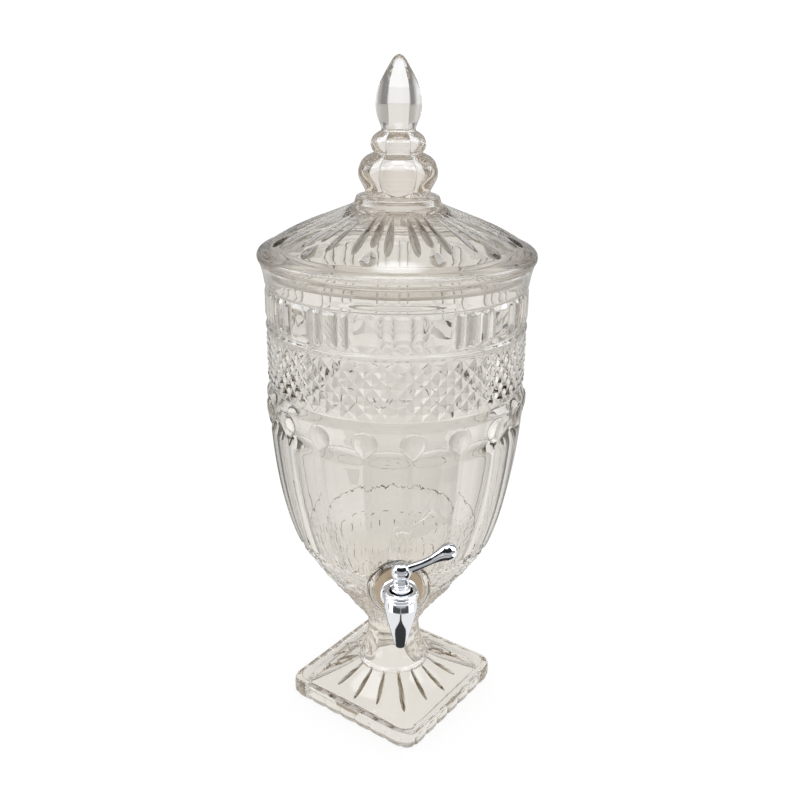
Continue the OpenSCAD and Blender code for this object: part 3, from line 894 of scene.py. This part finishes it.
SILICONE = soft_mat("seal_silicone", (0.55, 0.43, 0.29), 0.42, 0.35)
PLASTIC = soft_mat("nut_plastic", (0.80, 0.80, 0.77), 0.38, 0.1)
RUBBER = soft_mat("ring_rubber", (0.02, 0.02, 0.02), 0.55, 0.0)
STEEL = chrome_mat("screw_steel", (0.42, 0.42, 0.44), 0.28)
WEAR = {"inlet_shank": CHROME, "inner_washer": CHROME, "outer_gasket": SILICONE, "inner_gasket": SILICONE, "lock_nut": PLASTIC,
        "valve_plug": PLASTIC, "thrust_washer": PLASTIC, "plug_o_rings": RUBBER, "lever_set_screw": STEEL}
for name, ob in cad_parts.items():
    if name in WEAR:
        for sl in ob.material_slots:
            sl.material = WEAR[name]

# ---------------------------------------------------------------- camera, light, floor
cam = bpy.data.objects.new("camera", bpy.data.cameras.new("camera"))
scene.collection.objects.link(cam)
cam.data.sensor_width = 36.0
cam.data.lens = 40.89
cam.data.clip_end = 50.0
cam.location = (-0.0306, -0.6222, 0.4843)
cam.rotation_mode = "QUATERNION"
cam.rotation_quaternion = Vector((0.0506, 0.9342, -0.3531)).to_track_quat("-Z", "Y") @ Quaternion((0, 0, 1), math.radians(0.69))
scene.camera = cam


class Num:
    """A value in a node tree, so that node maths reads as a formula."""

    def __init__(self, nt, sock):
        self.nt, self.sock = nt, sock

    def op(self, kind, *others):
        n = self.nt.nodes.new("ShaderNodeMath")
        n.operation = kind
        for i, o in enumerate((self, *others)):
            if isinstance(o, Num):
                self.nt.links.new(o.sock, n.inputs[i])
            else:
                n.inputs[i].default_value = o
        return Num(self.nt, n.outputs[0])

    def __add__(self, o): return self.op("ADD", o)
    def __sub__(self, o): return self.op("SUBTRACT", o)
    def __mul__(self, o): return self.op("MULTIPLY", o)
    __rmul__, __radd__ = __mul__, __add__

    def ramp(self, a, b):
        """0 at a, 1 at b, smooth between; a may be above b."""
        n = self.nt.nodes.new("ShaderNodeMapRange")
        n.interpolation_type = "SMOOTHSTEP"
        lo, hi = min(a, b), max(a, b)
        n.inputs["From Min"].default_value, n.inputs["From Max"].default_value = lo, hi
        n.inputs["To Min"].default_value, n.inputs["To Max"].default_value = (0, 1) if a < b else (1, 0)
        self.nt.links.new(self.sock, n.inputs["Value"])
        return Num(self.nt, n.outputs["Result"])

    def band(self, a, b, soft):
        return self.ramp(a, a + soft) * self.ramp(b, b - soft)


def fold4(az):
    """Degrees from the nearest of four directions: 0 behind, in front and at the sides, 45 between."""
    return (az + 45.0).op("MODULO", 90.0).op("SUBTRACT", 45.0).op("ABSOLUTE")


def studio_world():
    world = bpy.data.worlds.new("studio")
    scene.world = world
    world.use_nodes = True
    nt = world.node_tree
    bg = nt.nodes["Background"]
    co = nt.nodes.new("ShaderNodeTexCoord")
    sep = nt.nodes.new("ShaderNodeSeparateXYZ")
    nt.links.new(co.outputs["Generated"], sep.inputs[0])
    x, y, z = (Num(nt, sep.outputs[i]) for i in range(3))
    az = x.op("ABSOLUTE").op("ARCTAN2", y) * (180 / math.pi)      # 0 behind the object, 180 on the camera's side
    el = z.op("ARCSINE") * (180 / math.pi)
    # what mirrors see: a pale wall behind, panels at the sides, two soft boxes above them, one overhead and one in front
    back = az.ramp(64, 58) * el.ramp(62, 38) * 0.3
    side = az.band(62, 100, 5) * el.ramp(50, 42) * 1.4
    boxes = az.band(70, 146, 6) * el.band(44, 76, 5) * 3.2
    top = el.ramp(70, 76) * 6.0
    strip = az.band(66, 142, 6) * (az * -0.35 + el + 24.5).band(6, 30, 5) * 5.0
    front = az.ramp(120, 146) * el.band(26, 68, 6) * 3.3
    low = az.ramp(105, 120) * el.ramp(28, 24) * 0.45
    mirror = back + side + boxes + top + strip + front + low + 0.05
    path = nt.nodes.new("ShaderNodeLightPath")
    seen, trans, gloss, deep = (Num(nt, path.outputs[k]) for k in ("Is Camera Ray", "Is Transmission Ray", "Is Glossy Ray", "Ray Depth"))
    # what is seen through the glass: bright behind, in front and at the sides, darker between
    gap = fold4(az).ramp(28, 40) * (deep.ramp(2.4, 2.6) * -0.45 + 0.7) + fold4(az).ramp(3, 28) * 0.2
    through = (gap * -1.0 + 1.0) * el.ramp(50, 22) * 1.0 + el.ramp(22, 50) * 0.68
    through = through * (deep.ramp(4.4, 8.6) * -0.2 + 1.0)
    only = (gloss - trans).op("MAXIMUM", 0.0)
    rest = (seen + trans + only) * -1.0 + 1.0
    strength = seen * 1.05 + trans * through + only * mirror + rest * 0.9
    nt.links.new(strength.sock, bg.inputs["Strength"])
    tone = nt.nodes.new("ShaderNodeMix")
    tone.data_type = "RGBA"
    tone.inputs["A"].default_value = (1, 1, 1, 1)
    tone.inputs["B"].default_value = (0.93, 0.965, 1.02, 1)
    cool = only + trans * deep.ramp(2.6, 2.4)
    nt.links.new(cool.sock, tone.inputs["Factor"])
    nt.links.new(tone.outputs["Result"], bg.inputs["Color"])


studio_world()


def sheet_of(name, corners, mat, camera=True):
    me = bpy.data.meshes.new(name)
    me.from_pydata(corners, [], [tuple(range(len(corners)))])
    ob = bpy.data.objects.new(name, me)
    scene.collection.objects.link(ob)
    ob.data.materials.append(mat)
    ob.visible_camera = camera
    return ob


fm, fnt, fb = new_mat("floor_white")
fb.inputs["Base Color"].default_value = (0.2, 0.2, 0.2, 1)
fb.inputs["Roughness"].default_value = 1.0
fb.inputs["Specular IOR Level"].default_value = 0.0
fb.inputs["Emission Color"].default_value = (1, 1, 1, 1)
geo = fnt.nodes.new("ShaderNodeNewGeometry")
sep = fnt.nodes.new("ShaderNodeSeparateXYZ")
fnt.links.new(geo.outputs["Position"], sep.inputs[0])
fx, fy = Num(fnt, sep.outputs[0]), Num(fnt, sep.outputs[1])
far = (fx * fx + fy * fy).op("SQRT")
faz = fx.op("ABSOLUTE").op("ARCTAN2", fy) * (180 / math.pi)
fpath = fnt.nodes.new("ShaderNodeLightPath")
ftrans = Num(fnt, fpath.outputs["Is Transmission Ray"])
fdeep = Num(fnt, fpath.outputs["Ray Depth"])
# seen through the glass, the floor glows with painted shade: dimmest about 0.2 m from the axis, brighter out to 1 m,
# darker in the four diagonal directions and for rays that have passed many surfaces
fgap = fold4(faz).ramp(28, 40) * (fdeep.ramp(2.4, 2.6) * -0.45 + 0.7) + fold4(faz).ramp(3, 28) * 0.2
fthrough = (far.ramp(0.2, 1.0) * 0.19 + far.ramp(0.2, 0.1) * 0.08 + 0.83) * (fgap * far.ramp(0.2, 0.5) * -1.0 + 1.0) * (fdeep.ramp(4.4, 8.6) * -0.2 + 1.0)
fmirror = (Num(fnt, fpath.outputs["Is Glossy Ray"]) - ftrans).op("MAXIMUM", 0.0)
side_glow = faz.band(105, 145, 5) * far.band(0.22, 0.8, 0.06) * 1.4      # bounce cards beside the camera
front = fy * -1.0
bright = faz.ramp(45, 75) * 0.6 + 0.25                                    # what mirrors see of the floor: dim behind,
bright = bright * (front.ramp(0.20, 0.25) * -0.5 + 1.0)                  # and grey in front
femit = ftrans * fthrough + (ftrans + fmirror) * -0.85 + 0.85 + fmirror * (side_glow + bright)
warm = fnt.nodes.new("ShaderNodeMix")
warm.data_type = "RGBA"
warm.inputs["A"].default_value = (1, 1, 1, 1)
fnt.links.new(ftrans.sock, warm.inputs["Factor"])
tint = fnt.nodes.new("ShaderNodeMix")                                     # warm near the foot, cooler towards the wall
tint.data_type = "RGBA"
tint.inputs["A"].default_value = (1.0, 0.985, 0.95, 1)
tint.inputs["B"].default_value = (0.93, 0.965, 1.02, 1)
fnt.links.new((far.ramp(0.15, 0.5) * (fdeep.ramp(2.6, 2.4) * 0.6 + 0.4)).sock, tint.inputs["Factor"])
fnt.links.new(tint.outputs["Result"], warm.inputs["B"])
fnt.links.new(warm.outputs["Result"], fb.inputs["Emission Color"])
fnt.links.new(femit.sock, fb.inputs["Emission Strength"])
floor = sheet_of("floor", [(-6, -6, -0.0004), (6, -6, -0.0004), (6, 6, -0.0004), (-6, 6, -0.0004)], fm)
dm = plain_mat("flag_black", (0.02, 0.02, 0.02), 0.9)


def around_tap(pts, z=0.001):
    """Points at height z from degrees off the front and millimetres from the barrel's axis."""
    return [(d * MM * math.sin(math.radians(t)), TAP_Y * MM - d * MM * math.cos(math.radians(t)), z) for t, d in pts]


def sector(name, a0, a1, d0, d1):
    t = np.linspace(a0, a1, max(2, int(abs(a1 - a0) / 8) + 2))
    return sheet_of(name, around_tap([(a, d0) for a in t] + [(a, d1) for a in t[::-1]]), dm, camera=False)


# black flags that only mirrors see: a window for the barrel, a tongue under the spout, one under the lever's arm, a hood in front
flags = [sector("flag_window_left", -57, -5, 320, 430), sector("flag_window_right", -2, 50, 320, 430), sector("flag_window_edge", -93, -86, 320, 430),
         sheet_of("flag_spout", around_tap([(-137, 73), (-124, 61), (-105, 58), (-85, 61), (-65, 64.5), (-45, 67.5), (-30, 70), (-18, 73.5), (-10, 77), (-7, 82), (0, 82), (4, 77),
                                            (11, 73.5), (23, 70), (38, 67.5), (58, 64.5), (78, 61), (98, 58), (118, 61), (131, 73), (131, 40), (80, 26), (0, 22), (-80, 26), (-137, 40)], 0.033), dm, camera=False),
         sheet_of("flag_arm", [(0.0125, -0.124, 0.150), (0.056, -0.124, 0.158), (0.056, -0.101, 0.158), (0.0125, -0.101, 0.150)], dm, camera=False)]
for sx in (-1, 1):
    flags.append(sheet_of("flag_edge", [(sx * 0.001, -0.070, 0.078), (sx * 0.013, -0.070, 0.078), (sx * 0.024, -0.070, 0.110), (sx * 0.006, -0.070, 0.110)], dm, camera=False))
for a in range(-75, 75, 25):
    flags.append(sheet_of("flag_hood", around_tap([(a, 45), (a + 25, 45)], 0.186) + around_tap([(a + 25, 45), (a, 45)], 0.262), dm, camera=False))
for f in flags:
    f.visible_transmission = False
    f.visible_diffuse = False
    f.visible_shadow = False

scene.view_settings.view_transform = "Standard"
scene.cycles.max_bounces = 24
scene.cycles.transmission_bounces = 24
scene.cycles.glossy_bounces = 12

bpy.context.view_layer.update()
